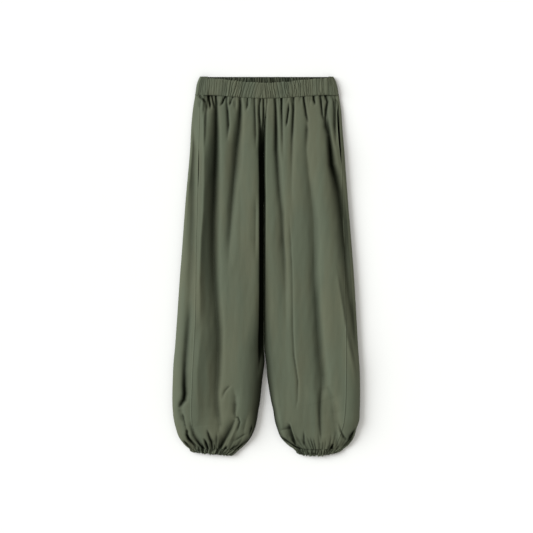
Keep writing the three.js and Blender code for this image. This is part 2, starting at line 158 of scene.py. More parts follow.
# Folds of each leg by name, as points of x, down, depth and the half widths on the sides towards the right
# and the left leg, or one half width for both. A negative depth is a ridge.
RIGHT_FOLDS = {
    "side hollow": [(-192, 92, 0, 8), (-189, 152, 3, 8), (-187, 191, 5, 8), (-191, 282, 8, 10, 8),
     (-192, 360, 8, 11, 8), (-194, 451, 7, 12, 9), (-197, 581, 4.5, 12, 10), (-205, 698, 0, 10)],
    "side crease": [(-172, 52, 6, 3), (-162, 61, 7.5, 3), (-156, 69, 0, 3)],
    "side pinch": [(-163, 69, 0, 3), (-163, 87, 3.8, 3.5), (-165, 118, 0, 4)],
    "pocket tuck": [(-150, 48, 4.5, 3), (-153, 72, 4.5, 3.5, 3), (-156, 95, 3, 4), (-158, 152, 3, 5),
     (-162, 217, 0, 6)],
    "short tuck": [(-150, 51, 7.5, 2.5), (-146, 72, 8.2, 2.5), (-145, 87, 0, 3)],
    "second short tuck": [(-142, 48, 5, 2.5), (-137, 69, 6, 2.5), (-133, 84, 0, 3)],
    "hip fold": [(-131, 48, 4, 3), (-130, 72, 8, 5, 4), (-130, 100, 11, 9, 5), (-130, 139, 14.5, 12, 6),
     (-131, 191, 17, 13, 8), (-134, 256, 19, 13, 12), (-136, 321, 19, 14, 15), (-138, 386, 18, 14, 16),
     (-138, 451, 17.5, 15, 16), (-136, 529, 17, 19, 14), (-131, 594, 17, 24, 12), (-126, 659, 18, 28, 11),
     (-126, 711, 18, 30, 11), (-128, 776, 16, 32, 11), (-131, 820, 14.5, 34, 10), (-130, 854, 14, 36, 10),
     (-126, 880, 12, 35, 9), (-122, 904, 7.5, 27, 8), (-122, 930, 0, 14, 8)],
    "slanting pinch": [(-107, 53, 6, 2.5), (-114, 69, 5.2, 2.5), (-122, 79, 0, 3)],
    "thigh tuck": [(-104, 53, 3, 3), (-100, 92, 6, 4.5, 3), (-98, 126, 6, 5, 3.5), (-101, 173, 0, 5, 4)],
    "thigh pinch": [(-87, 53, 3.8, 2.5), (-93, 69, 3.8, 2.5), (-97, 77, 0, 3)],
    "thigh dimple": [(-80, 51, 2.2, 2.5), (-80, 77, 2.2, 3), (-78, 92, 0, 3)],
    "thigh fold": [(-68, 48, 4, 3), (-67, 74, 8, 4.5, 4), (-68, 100, 10, 8, 5), (-71, 139, 11.5, 11, 7),
     (-76, 178, 13, 13, 9), (-80, 230, 13, 14, 12), (-85, 282, 12, 13), (-90, 347, 11, 12, 14),
     (-94, 412, 8, 12, 16), (-97, 498, 0, 14, 16)],
    "slot side hollow": [(-27, 300, 0, 8, 7), (-27, 350, 4.5, 10, 7), (-28, 425, 5, 10, 8),
     (-28, 480, 0, 9, 8)],
    "thigh hollow": [(-67, 230, 0, 20, 24), (-67, 308, 3.5, 24, 28), (-67, 386, 5, 28, 30), (-67, 464, 3, 30),
     (-67, 542, 0, 30)],
    "slot shoulder": [(-22, 542, 0, 12, 14), (-20, 607, 3, 16, 14), (-19, 672, 7, 19, 14),
     (-19, 716, 9, 21, 14), (-20, 753, 6, 21, 12), (-23, 789, 0, 18, 10)],
    "inner pinch": [(-48, 51, 5.2, 2.5), (-49, 74, 5.2, 3), (-52, 92, 0, 3)],
    "inner tuck": [(-31, 51, 3.8, 3), (-29, 100, 5.2, 4, 3.5), (-27, 152, 4.5, 5), (-28, 196, 0, 6)],
    "centre tuck": [(-14, 51, 4, 2.5), (-18, 77, 5.5, 3.5, 3), (-18, 98, 7, 4, 3.5), (-16, 118, 8, 5, 3.5),
     (-14, 144, 7, 7, 5), (-12, 178, 4, 8, 6), (-11, 217, 0, 8, 6)],
    "centre pinch": [(-7, 53, 4, 2.5, 2), (-6, 87, 5.5, 3, 2), (-7, 113, 6, 3, 2.5), (-9, 139, 5, 4, 3),
     (-10, 170, 0, 4)],
    "calf fold": [(-194, 581, 0, 9, 8), (-201, 638, 5, 10, 7), (-205, 685, 8, 10, 8), (-208, 724, 9.5, 9, 10),
     (-211, 763, 9.5, 6, 10), (-212, 802, 12, 5, 8), (-211, 823, 13, 4.5, 7), (-213, 838, 12, 5, 6),
     (-220, 850, 7, 5, 4), (-226, 860, 0, 4)],
    "calf shade": [(-221, 846, 1, 6), (-222, 867, 4, 7, 6), (-219, 888, 3, 6, 5), (-215, 902, 0, 5)],
    "calf line": [(-218, 872, 0, 2.5), (-215, 883, 5, 3, 2.5), (-213, 893, 4, 3, 2.5),
     (-208, 911, 2.5, 3, 2.5), (-205, 922, 3, 2.5)],
    "ridge": [(-167, 46, -4.5, 10, 4), (-165, 72, -5.2, 10, 5), (-162, 126, -4.8, 8),
     (-161, 191, -6.5, 10, 13), (-161, 269, -8, 12, 16), (-163, 347, -8, 11, 15), (-169, 425, -7.5, 11, 13),
     (-172, 529, -5, 10), (-171, 607, -3, 9, 8), (-171, 654, 0, 10, 7)],
    "calf ridge": [(-168, 649, 0, 12), (-173, 711, -3.6, 16, 12), (-178, 763, -4.4, 18, 13),
     (-178, 815, -4.4, 20, 14), (-176, 857, -3.8, 20, 14), (-176, 888, -2.4, 16, 12), (-180, 909, 0, 8)],
    "outer crease": [(-205, 919, 3, 2.5), (-205, 930, 8, 3), (-201, 939, 12, 3, 2.5), (-193, 949, 12, 3, 2.5),
     (-185, 959, 9, 3, 2.5), (-182, 971, 5, 2)],
    "hem crease": [(-213, 948, 4, 2.2), (-205, 956, 8, 2.5, 2.2), (-196, 965, 7, 2.5, 2.2),
     (-189, 971, 3, 2)],
    "outer pleat": [(-196, 893, 0, 4, 5), (-193, 911, 4, 4, 7), (-188, 930, 6, 4, 9), (-180, 945, 7, 4, 8),
     (-171, 958, 8, 3, 5), (-163, 967, 8, 3), (-159, 975, 5, 2)],
    "hem pinch": [(-161, 940, 1, 2), (-157, 950, 7, 2.5, 3), (-153, 961, 9, 2.5, 3), (-150, 971, 8, 2),
     (-149, 975, 4, 2)],
    "middle pleat": [(-153, 914, 0, 3), (-150, 927, 5, 3, 4), (-146, 940, 6.5, 3, 4.5), (-142, 950, 8, 3, 5),
     (-141, 963, 8, 3, 4), (-140, 975, 5, 2)],
    "hem pit row": [(-178, 956, 0, 2), (-175, 966, 6, 2), (-172, 975, 4, 2)],
    "hem pit two": [(-167, 958, 0, 2), (-165, 968, 6, 2), (-163, 975, 4, 2)],
    "hem pit three": [(-135, 953, 0, 2), (-133, 966, 5, 2.2), (-135, 975, 4, 2)],
    "great pleat": [(-78, 883, 0, 6, 3), (-83, 894, 4, 9, 3), (-92, 914, 7, 12, 3.5), (-101, 931, 9, 14, 3.5),
     (-110, 948, 10, 13, 3.5), (-118, 963, 11, 10, 3.5), (-124, 975, 9, 7, 3.5), (-127, 975, 5, 3)],
    "pleat ridge": [(-72, 896, -1, 4), (-87, 930, -3, 5), (-101, 958, -2.5, 4), (-111, 975, 0, 3)],
    "shin hollow": [(-85, 805, 0, 8), (-80, 831, 4, 10, 8), (-80, 852, 5, 10, 7), (-81, 867, 3, 8, 5),
     (-83, 883, 0, 6, 4)],
    "shin crease": [(-80, 841, 0, 5, 4), (-81, 872, 2.5, 6, 3), (-79, 883, 3.4, 5, 2.4),
     (-72, 885, 3.6, 3, 2.6), (-68, 896, 3.4, 3, 2.6), (-72, 911, 2.6, 3, 2.5), (-76, 924, 0, 3)],
    "shin arc": [(-88, 800, 0, 3), (-98, 806, 2.5, 3), (-106, 815, 3.5, 4, 3), (-110, 823, 3, 4, 3),
     (-116, 841, 0, 5)],
    "hem pit": [(-104, 963, 4, 2.5), (-108, 972, 11, 3.5), (-113, 975, 5, 2)],
    "inseam pit": [(-36, 904, 2, 2), (-38, 914, 6, 2.5), (-41, 924, 4, 2), (-44, 932, 0, 2)],
    "inseam swell": [(-41, 862, 0, 8), (-52, 893, 2.5, 8, 6), (-57, 914, 2.5, 8, 6), (-59, 932, 0, 6)],
    "inseam arc": [(-46, 927, 0, 3), (-59, 931, 2.5, 3), (-72, 940, 3, 4, 3), (-85, 949, 0, 4)],
    "rim swirl": [(-72, 958, 0, 2), (-83, 963, 5, 2.5), (-93, 971, 6, 2.5), (-100, 975, 4, 2)],
    "inseam rim": [(-41, 940, 2, 2), (-54, 950, 5, 2.5), (-67, 961, 6, 2.5), (-80, 972, 5, 2.5),
     (-93, 975, 3, 2)],
}
LEFT_FOLDS = {
    "front tuck": [(23, 53, 5, 3), (25, 87, 7, 4, 3), (26, 139, 9, 5.5, 4), (26, 191, 9, 7, 6),
     (30, 243, 9, 8, 10), (34, 295, 8.5, 9, 10), (41, 360, 8, 13, 8), (43, 425, 7.5, 13, 5),
     (47, 477, 6, 13, 6), (50, 555, 4, 11, 8), (52, 659, 0, 12, 10)],
    "second tuck": [(40, 53, 6, 3, 2.5), (40, 82, 6, 3, 2.5), (41, 113, 4.5, 3.5, 3), (42, 165, 3, 4, 3.5),
     (45, 222, 0, 5)],
    "slanting pinch": [(60, 61, 0, 2), (58, 87, 6, 2.5, 2), (54, 118, 5.2, 2.5, 2), (52, 134, 0, 2)],
    "third tuck": [(71, 48, 5, 3, 2.5), (71, 87, 6.5, 3.5, 2.5), (69, 126, 6, 4, 3), (67, 165, 4.5, 5, 3.5),
     (66, 217, 3, 6, 4), (66, 295, 1.5, 7, 5), (66, 360, 0, 7, 5)],
    "long crease": [(60, 352, 0, 3, 2.5), (63, 412, 1.6, 3, 2.5), (67, 503, 2, 3, 2.5),
     (68, 581, 2.2, 3.5, 2.5), (69, 659, 2.4, 3.5, 2.5), (72, 724, 2.8, 3.5, 2.5), (78, 763, 3, 4, 2.6),
     (82, 789, 2.8, 4, 2.6), (81, 841, 1.8, 4, 3), (76, 867, 0, 4)],
    "thigh tuck": [(97, 51, 4.5, 3, 2.5), (101, 77, 6, 3, 2.5), (104, 100, 5.2, 3), (110, 124, 0, 3)],
    "thigh fold": [(106, 108, 1, 6, 4), (106, 139, 5, 6, 5), (104, 191, 4, 9, 8), (110, 256, 5.5, 14, 12),
     (118, 321, 8, 20, 12), (123, 373, 9.5, 24, 12), (124, 438, 11.5, 24, 12), (124, 516, 13, 23, 12),
     (129, 581, 14, 24, 11), (133, 659, 15, 26, 11), (138, 724, 15, 26, 11), (144, 776, 14, 26, 11),
     (144, 810, 12, 20, 13), (141, 836, 8, 9, 16), (139, 872, 6, 5, 16), (140, 906, 5, 5, 14),
     (142, 930, 3.5, 4, 12), (144, 950, 0, 3, 8)],
    "shin fold": [(156, 802, 0, 14, 12), (168, 836, 8, 28, 16), (175, 872, 11, 36, 16),
     (178, 898, 10.5, 36, 14), (180, 924, 8, 28, 9), (182, 945, 4, 14, 5), (184, 963, 2, 6, 4)],
    "hip pinch": [(123, 46, 6, 2.3), (124, 61, 6, 2.3), (129, 77, 0, 3)],
    "hip tuck": [(141, 48, 5, 2.5, 2.3), (144, 77, 6, 3, 2.3), (146, 98, 5, 3, 2.5), (150, 116, 0, 3)],
    "pocket tuck": [(154, 48, 6, 2.5), (159, 66, 6, 3), (156, 87, 7.5, 4, 3), (154, 108, 6, 4, 3),
     (156, 131, 4.5, 5, 4), (162, 150, 0, 5, 4)],
    "pocket lip": [(188, 56, 0, 2), (189, 77, 5, 2.2), (189, 126, 6, 2.2), (191, 165, 4, 2.2),
     (195, 199, 2, 2.2), (198, 243, 0, 2.5)],
    "pocket swell": [(182, 51, 3, 4, 3), (180, 82, 4.5, 4), (179, 126, 6, 4), (180, 165, 3, 4),
     (185, 191, 0, 4)],
    "side pinch": [(172, 51, 3, 3), (176, 66, 4.5, 3), (177, 87, 3, 3), (176, 124, 2.2, 4), (177, 165, 0, 4)],
    "hip fold": [(158, 92, 0, 6, 4), (160, 129, 7, 9, 5), (164, 160, 11, 8, 5), (167, 191, 15.5, 7, 6),
     (170, 230, 18, 8, 9), (180, 264, 19, 12), (188, 300, 19.5, 16, 12), (194, 342, 19.5, 19, 12),
     (199, 378, 19, 20, 12), (202, 417, 18.5, 20, 12), (205, 456, 16, 18, 12), (208, 495, 14, 17, 12),
     (212, 534, 13, 17, 11), (216, 573, 12, 18, 11), (224, 620, 10, 19, 10), (229, 672, 6.5, 14, 9),
     (234, 711, 3, 10, 7), (237, 742, 0, 6, 5)],
    "ridge": [(177, 482, 0, 6, 5), (188, 542, -2, 6, 5), (198, 602, -3, 6, 5), (208, 672, -3, 5),
     (219, 724, -2.4, 5, 6), (228, 768, -1.4, 5, 6), (234, 810, 0, 4)],
    "ridge crease": [(216, 659, 0, 3), (223, 706, 1.6, 4, 3), (231, 742, 1.2, 4, 3), (236, 776, 0.8, 3),
     (238, 805, 0, 3)],
    "inseam pit": [(60, 904, 2, 6, 2), (64, 919, 7, 14, 2.5), (68, 932, 9, 14, 2.5), (72, 945, 9, 9, 2.5),
     (76, 956, 5, 4, 2)],
    "inseam lid": [(36, 919, 1, 3), (47, 916, 3, 4, 8), (60, 913, 3.5, 4, 8), (66, 914, 0, 2)],
    "inseam rim": [(37, 936, 4, 2), (52, 945, 6, 2.2, 2.5), (73, 960, 7, 2.5), (89, 968, 6, 2.5, 2),
     (112, 974, 5, 2.5, 2)],
    "pit ridge": [(63, 893, 0, 4), (68, 919, -2.5, 3), (77, 945, -2.5, 3), (84, 961, 0, 3)],
    "inner crease": [(98, 916, 0, 2.3, 2), (98, 935, 3, 2.5, 2), (99, 950, 3, 2.5, 2), (99, 963, 0, 2)],
    "outer crease": [(186, 898, 0, 3), (193, 919, 4, 4, 2.5), (201, 935, 5, 4, 2.5), (211, 948, 0, 3)],
    "hem pit": [(173, 957, 4, 3), (170, 966, 13, 4, 3.5), (166, 975, 11, 3)],
    "hem crease": [(188, 961, 2, 2), (182, 974, 7, 2.5), (179, 975, 7, 2.5)],
    "rim pinch": [(238, 904, 0, 2), (229, 919, 6, 3, 2.5), (220, 935, 13, 4, 3.5), (215, 942, 5, 3)],
    "rim crease": [(223, 940, 5, 3, 2.5), (216, 949, 12, 4, 3), (208, 958, 12, 4, 3), (199, 968, 8, 3, 2.5),
     (193, 974, 3, 2)],
}
FOLD_ROUNDNESS = 1.3
FOLD_FALL = 1.1
FOLD_REACH = 2.6
# Small random tucks, spaced in millimetres along the waist and in shares of a leg's width at the ankles
WAIST_TUCKS = {"from_to_by": (-178, 182, 6), "wander": 2.5, "lean": 5,
               "reach": (8, 34), "deep": (0.8, 2.6), "wide": (1.8, 3)}
ANKLE_TUCKS = {"from_to_by": (0.05, 0.97, 0.045), "wander": 0.02,
               "reach": (12, 50), "deep": (0.8, 3.3), "wide": (1.8, 3.2)}
# Unevenness between the folds, one row each of height, seed, size and how far it is drawn out along the leg
UNEVENNESS = [(0.9, 3, 70, 5), (0.16, 4, 22, 3)]
NOISE_WAVES = 9

# The slot between the legs, where the right front rolls down against the left
SLOT_SHARPNESS = 6
SLOT_COLUMNS = ("down", "middle", "depth", "half_width")
SLOT_TABLE = [
    (100, -13, 0, 4), (125, -13, 0, 5), (150, -12.6, 3, 6), (190, -12, 9, 7), (230, -10.7, 18, 7.4),
    (260, -9.9, 25, 7.2), (400, -9.4, 27, 7.2), (550, -9, 27, 7.6), (640, -8.4, 26, 9), (690, -8.8, 20, 10),
    (730, -11, 8, 8), (770, -14, 0, 6),
]


def smooth(t):
    """Eases from 0 to 1."""
    t = np.clip(t, 0, 1)
    return t * t * (3 - 2 * t)


def at_down(table, columns, column, down):
    """Values of one column of a table at distances down, on a smooth curve through its rows."""
    rows = np.array(table, float)
    known = rows[:, 0]
    values = rows[:, columns.index(column)]
    after = np.minimum(np.arange(len(rows)) + 1, len(rows) - 1)
    before = np.maximum(np.arange(len(rows)) - 1, 0)
    slopes = (values[after] - values[before]) / (known[after] - known[before])
    i = np.clip(np.searchsorted(known, down, side="right") - 1, 0, len(rows) - 2)
    step = known[i + 1] - known[i]
    t = np.clip((down - known[i]) / step, 0, 1)
    rise = 3 * t ** 2 - 2 * t ** 3
    bend = (t ** 3 - 2 * t ** 2 + t) * slopes[i] + (t ** 3 - t ** 2) * slopes[i + 1]
    return values[i] + (values[i + 1] - values[i]) * rise + step * bend


def leg_at(column, down):
    return at_down(LEG_TABLE, LEG_COLUMNS, column, down)


def leg_edges(side, down):
    """x of a leg's outer and inner edges, and the width between them."""
    outer, inner = leg_at(side + "_outer", down), leg_at(side + "_inner", down)
    return outer, inner, np.abs(outer - inner) - CENTRE_GAP / 2


def side_seam_at(side, down):
    return at_down(SIDE_SEAMS, SIDE_COLUMNS, side, down)


def seam_reach(side, down):
    """Distance from a leg's inner edge to its side seam."""
    return np.abs(side_seam_at(side, down) - leg_at(side + "_inner", down)) - CENTRE_GAP / 2


def arc(t):
    """Quarter round from 0 up to 1."""
    return np.sqrt(np.maximum(0, 1 - (1 - np.clip(t, 0, 1)) ** 2))


def fold_depth(points, x, down):
    """Depth that one fold takes out of the cloth at each place, from its distance to the fold's path."""
    path = np.array([(*point, point[-1])[:5] for point in points], float)
    reach = FOLD_REACH * path[:, 3:].max()
    depth = np.zeros(x.shape)
    near = ((x > path[:, 0].min() - reach) & (x < path[:, 0].max() + reach)
            & (down > path[:, 1].min() - reach) & (down < path[:, 1].max() + reach))
    px, py = x[near], down[near]
    nearest = np.full(px.shape, 1e9)
    found = np.zeros(px.shape)
    for start, end in zip(path[:-1], path[1:]):
        length = math.hypot(*(end - start)[:2])
        ax, ay = (end - start)[:2] / length
        t = np.clip(((px - start[0]) * ax + (py - start[1]) * ay) / length, 0, 1)
        away_x, away_y = px - start[0] - t * length * ax, py - start[1] - t * length * ay
        away = np.hypot(away_x, away_y)
        _, _, deep, to_right, to_left = start[:, None] + (end - start)[:, None] * t
        turned = smooth(0.5 + 0.5 * (away_x * ay - away_y * ax) / np.maximum(away, 1e-6))
        width = to_right + (to_left - to_right) * turned
        here = deep * np.exp(-FOLD_FALL * (away / width) ** FOLD_ROUNDNESS)
        closer = away < nearest
        found[closer] = here[closer]
        nearest[closer] = away[closer]
    depth[near] = found
    return depth


def slot_at(column, down):
    return at_down(SLOT_TABLE, SLOT_COLUMNS, column, down)


def slot_share(x, down):
    """How much of the slot's depth each place has, from 0 to 1."""
    away = np.abs(x - slot_at("middle", down))
    return np.exp(-(away / slot_at("half_width", down)) ** SLOT_SHARPNESS)


def small_gathers(seed):
    """Short uneven tucks under the waistband, and more of them above each ankle casing."""
    rng = np.random.default_rng(seed)
    folds = []
    kind = WAIST_TUCKS
    for x in np.arange(*kind["from_to_by"]):
        x = x + rng.uniform(-kind["wander"], kind["wander"])
        end = x + rng.uniform(-kind["lean"], kind["lean"])
        reach, deep, wide = (rng.uniform(*kind[measure]) for measure in ("reach", "deep", "wide"))
        folds.append([(x, 46, deep, wide), ((x + end) / 2, 52 + reach / 2, 0.8 * deep, wide),
                      (end, 56 + reach, 0, wide + 1)])
    kind = ANKLE_TUCKS
    for side in SIDES:
        for share in np.arange(*kind["from_to_by"]):
            share = share + rng.uniform(-kind["wander"], kind["wander"])
            reach, deep, wide = (rng.uniform(*kind[measure]) for measure in ("reach", "deep", "wide"))
            start = ANKLE - reach
            points = []
            for t in (0, 0.35, 0.7, 1):
                down = start + (ANKLE + 1 - start) * t
                outer, inner, _ = leg_edges(side, down)
                points.append((outer + (inner - outer) * share, down, deep * min(1, 2 * t), wide))
            folds.append(points)
    return folds


ALL_FOLDS = [*RIGHT_FOLDS.values(), *LEFT_FOLDS.values(), *small_gathers(7)]


def seam_dip(x):
    """How much lower than at the sides the waistband's seam lies."""
    return BAND_DIP * (1 + np.cos(np.pi * np.minimum(1, np.abs(x) / BAND_END))) / 2


def soft_noise(x, down, seed, size, stretch):
    """Smooth unevenness of crisp cloth, drawn out along its length, from -1 to 1."""
    rng = np.random.default_rng(seed)
    total = np.zeros(np.broadcast(x, down).shape)
    for _ in range(NOISE_WAVES):
        across = rng.uniform(0.6, 1.5) / size
        along = rng.uniform(-1, 1) / (size * stretch)
        total += np.sin(2 * np.pi * (x * across + down * along) + rng.uniform(0, 2 * np.pi))
    return total / NOISE_WAVES ** 0.5 / 1.5


def leg_top(side, from_inner, down):
    """x and z of the top of a leg, from the distance to its inner edge."""
    outer, _, width = leg_edges(side, down)
    from_outer = width - from_inner
    x = outer - np.sign(outer) * from_outer
    outer_arc = arc(from_outer / np.minimum(OUTER_ROLL, width / 2))
    inner_arc = arc(from_inner / np.minimum(at_down(INNER_ROLLS, SIDE_COLUMNS, side, down), width / 2))
    turn, top = leg_at("turn", down), leg_at("inner", down) + SEAM_GAP
    edge = turn + (top - turn) * from_outer / width
    joined = smooth((CROTCH - down) / JOINED_FADE)
    firm = np.minimum(outer_arc, np.maximum(inner_arc, joined))
    z = edge + (leg_at("crown", down) - edge) * outer_arc * inner_arc
    folded = sum(fold_depth(fold, x, down) for fold in ALL_FOLDS)
    z = z - folded * np.minimum(1, EDGE_FIRMNESS * firm) ** 2
    if side == "right":
        z = z - slot_at("depth", down) * slot_share(x, down)
    lively = firm * smooth((down - BAND_DEPTH) / CALM_ENDS) * smooth((ANKLE - down) / CALM_ENDS)
    z = z + lively * sum(height * soft_noise(x, down, *kind) for height, *kind in UNEVENNESS)
    spare = z - LEAST_FRONT
    return x, LEAST_FRONT + np.where(spare > EASE, spare, EASE * np.exp(np.minimum(spare / EASE - 1, 0)))


def even_out(points, columns):
    """Rows of points spaced evenly along the cloth, most of the way, so that folds stay smooth."""
    steps = np.linalg.norm(np.diff(points, axis=1), axis=2)
    travelled = np.concatenate([np.zeros((len(points), 1)), np.cumsum(steps, axis=1)], axis=1)
    travelled /= travelled[:, -1:]
    even = np.linspace(0, 1, points.shape[1])
    measure = EVENNESS * travelled + (1 - EVENNESS) * even
    wanted = np.linspace(0, 1, columns)
    return np.stack([np.stack([np.interp(wanted, measure[r], points[r, :, k]) for k in range(3)], axis=1)
                     for r in range(len(points))])


def leg_downs(rows):
    """Distances down of a leg's rows, closer together at the waist and ankle."""
    t = np.linspace(0, 1, rows)
    return (BAND_DEPTH + (ANKLE - BAND_DEPTH) * (t - END_CROWDING * np.sin(2 * np.pi * t)))[:, None]


def dipped_top(side, from_inner, down):
    """Points on the top of a leg, in rows that dip in the middle below the waistband's seam."""
    x, _ = leg_top(side, from_inner, down + 0 * from_inner)
    dip = seam_dip(x) * (1 - smooth((down - BAND_DEPTH) / DIP_FADE))
    x, z = leg_top(side, from_inner, down + dip)
    return np.stack([x, LENGTH / 2 - down - dip, z], axis=2)


def front_points(side, rows, columns):
    """Grid of a front panel's points, from the centre to the side seam."""
    down = leg_downs(rows)
    reach = seam_reach(side, down) - pocket_gape(side, down)
    share = np.linspace(0, 1, 3 * columns)
    from_inner = reach * ((1 - CENTRE_CROWDING) * share + CENTRE_CROWDING * share ** 2)
    return even_out(dipped_top(side, from_inner, down), columns)


# Where each pocket's slit starts and ends down the side seam, and how far it gapes
POCKETS = {"right": (190, 290, 1.8), "left": (62, 226, 5.0)}
GAPE_ROUNDNESS = 0.6


def pocket_gape(side, down):
    """Gap between front and back at the side seam: a stitched seam, and the pocket's opening."""
    start, end, gape = POCKETS[side]
    return SIDE_GAP + gape * np.sin(np.pi * np.clip((down - start) / (end - start), 0, 1)) ** GAPE_ROUNDNESS


def grid_normals(points, ring=False):
    """Direction out of the cloth at each point of a grid."""
    if ring:
        around = np.concatenate([points[:, -1:], points, points[:, :1]], axis=1)
        across = around[:, 2:] - around[:, :-2]
    else:
        across = np.gradient(points, axis=1)
    normals = np.cross(across, np.gradient(points, axis=0))
    return normals / np.maximum(np.linalg.norm(normals, axis=2, keepdims=True), 1e-9)


def cloth_wall(name, material, outer, outward, shade, thickness=CLOTH, inner=None, ring=False):
    """Closed thin wall of cloth from a grid of outer points, and of inner ones if given, in millimetres."""
    normals = grid_normals(outer, ring)
    flip = np.sum(normals * outward, axis=2).mean() < 0
    if flip:
        normals = -normals
    if inner is None:
        inner = outer - normals * thickness
    rows, columns = outer.shape[:2]
    count = rows * columns
    at = np.arange(count).reshape(rows, columns)
    if ring:
        at = np.concatenate([at, at[:, :1]], axis=1)
    quads = np.stack([at[:-1, :-1], at[1:, :-1], at[1:, 1:], at[:-1, 1:]], axis=2).reshape(-1, 4)
    rims = [(at[0, 1:], at[0, :-1]), (at[-1, :-1], at[-1, 1:])]
    if not ring:
        rims += [(at[:-1, 0], at[1:, 0]), (at[1:, -1], at[:-1, -1])]
    faces = [quads, quads[:, ::-1] + count]
    faces += [np.stack([a, b, b + count, a + count], axis=1) for a, b in rims]
    faces = np.concatenate(faces)
    if not flip:
        faces = faces[:, ::-1]
    mesh = bpy.data.meshes.new(name)
    places = np.concatenate([outer.reshape(-1, 3), inner.reshape(-1, 3)]) / 1000
    mesh.from_pydata(places.tolist(), [], faces.tolist())
    mesh.polygons.foreach_set("use_smooth", [True] * len(faces))
    # The painted shade of each point, which the material uses to darken the cloth's colour
    attribute = mesh.attributes.new("hollow", "FLOAT", "POINT")
    attribute.data.foreach_set("value", np.clip(np.concatenate([shade.ravel(), shade.ravel()]), 0, 1))
    mesh.validate()
    mesh.materials.append(material)
    piece = bpy.data.objects.new(name, mesh)
    bpy.context.collection.objects.link(piece)
    return piece


POPLIN_LIT = (0.0625, 0.0705, 0.0468, 1)
# Near-black colour of the painted shade, mixed into the cloth where the hollow attribute is high
POPLIN_PAINTED_SHADE = (0.004, 0.005, 0.003, 1)
DYE_WARM = (1.03, 0.995, 0.955, 1)
DYE_COOL = (0.965, 1.008, 1.01, 1)


def poplin(name, lit=POPLIN_LIT, weave=1.0):
    """Crisp plain-woven cotton: fine weave, slubs along the length, uneven dye, and painted shade in deep
    folds.
    """
    material = bpy.data.materials.new(name)
    material.use_nodes = True
    nodes, links = material.node_tree.nodes, material.node_tree.links

    def feed(node, given):
        """Fills a node's inputs. A socket is linked, and anything else is the input's value."""
        for entry, value in given.items():
            if isinstance(value, bpy.types.NodeSocket):
                links.new(value, node.inputs[entry])
            else:
                node.inputs[entry].default_value = value

    def add(kind, output, given):
        """An output of a new node."""
        node = nodes.new("ShaderNode" + kind)
        feed(node, given)
        return node.outputs[output]

    def noise(scale, stretch, detail):
        vector = add("Mapping", "Vector", {"Vector": place, "Scale": (scale, scale / stretch, scale)})
        return add("TexNoise", "Fac", {"Vector": vector, "Scale": 1.0, "Detail": detail})

    def ranged(value, low, high, to_low, to_high):
        return add("MapRange", "Result", {"Value": value, "From Min": low, "From Max": high,
                                          "To Min": to_low, "To Max": to_high})

    def mixed(factor, a, b, blend="MIX"):
        node = nodes.new("ShaderNodeMix")
        node.data_type = "RGBA"
        node.blend_type = blend
        feed(node, {"Factor": factor, "A": a, "B": b})
        return node.outputs["Result"]

    place = add("TexCoord", "Object", {})
    clouds = ranged(noise(16, 3, 3), 0.3, 0.7, 0.95, 1.05)
    slubs = ranged(noise(700, 24, 2), 0.3, 0.7, 0.97, 1.03)
    tone = nodes.new("ShaderNodeMath")
    tone.operation = "MULTIPLY"
    feed(tone, {0: clouds, 1: slubs})
    warm, cool = ([part * share for part, share in zip(lit, dye)] for dye in (DYE_WARM, DYE_COOL))
    dyed = mixed(ranged(noise(24, 5, 2), 0.38, 0.62, 0, 1), warm, cool)
    tinted = mixed(1.0, dyed, tone.outputs["Value"], blend="MULTIPLY")
    # Painted shade: the hollow attribute darkens the colour towards the shade colour and takes away the
    # specular and the sheen
    stored = nodes.new("ShaderNodeAttribute")
    stored.attribute_name = "hollow"
    hollow = stored.outputs["Fac"]
    crumpled = add("Bump", "Normal", {"Strength": 0.5, "Distance": 0.0012, "Height": noise(60, 3.5, 3)})
    threads = add("TexWave", "Fac", {"Vector": place, "Scale": 420, "Distortion": 0.4})
    woven = add("Bump", "Normal", {"Strength": 0.12 * weave, "Distance": 0.0002, "Height": threads,
                                   "Normal": crumpled})
    feed(nodes["Principled BSDF"], {
        "Base Color": mixed(hollow, tinted, POPLIN_PAINTED_SHADE),
        "Roughness": 0.72,
        "Specular IOR Level": ranged(hollow, 0, 1, 0.16, 0),
        "Sheen Weight": ranged(hollow, 0, 1, 0.06, 0),
        "Sheen Roughness": 0.4,
        "Sheen Tint": (0.8, 0.85, 0.62, 1),
        "Normal": woven,
    })
    return material


# Painted shade: the cloth's colour is darkened where little of an even sky reaches it, in the slot and
# between the legs
SKY_STEP = 2.0
SKY_ROWS = np.arange(0, LENGTH + 12, SKY_STEP)[:, None]
SKY_COLUMNS = np.arange(-256, 257, SKY_STEP)[None, :]
SKY_REACHES = (1, 2, 3, 4, 6, 8, 11, 15, 20)
SKY_BEARINGS = 16
SKY_BLACK = 0.48
SKY_FULL = 0.97
SKY_POWER = 2.2
SKY_MARGIN = 6.0
BAND_HEIGHT = 13.0
SLOT_DARK_DEPTH = 18.0
# How far over each leg's inner edge the other leg's painted shade reaches
BETWEEN_LEGS = [
    (170, 0, 0), (220, 0, 3), (400, 0, 4), (530, 0, 8), (600, 4, 10), (640, 14, 12), (700, 26, 16),
    (790, 29, 15), (850, 24, 9), (900, 14, 6), (930, 8, 4), (968, 0, 0),
]
BETWEEN_DARK = 0.86


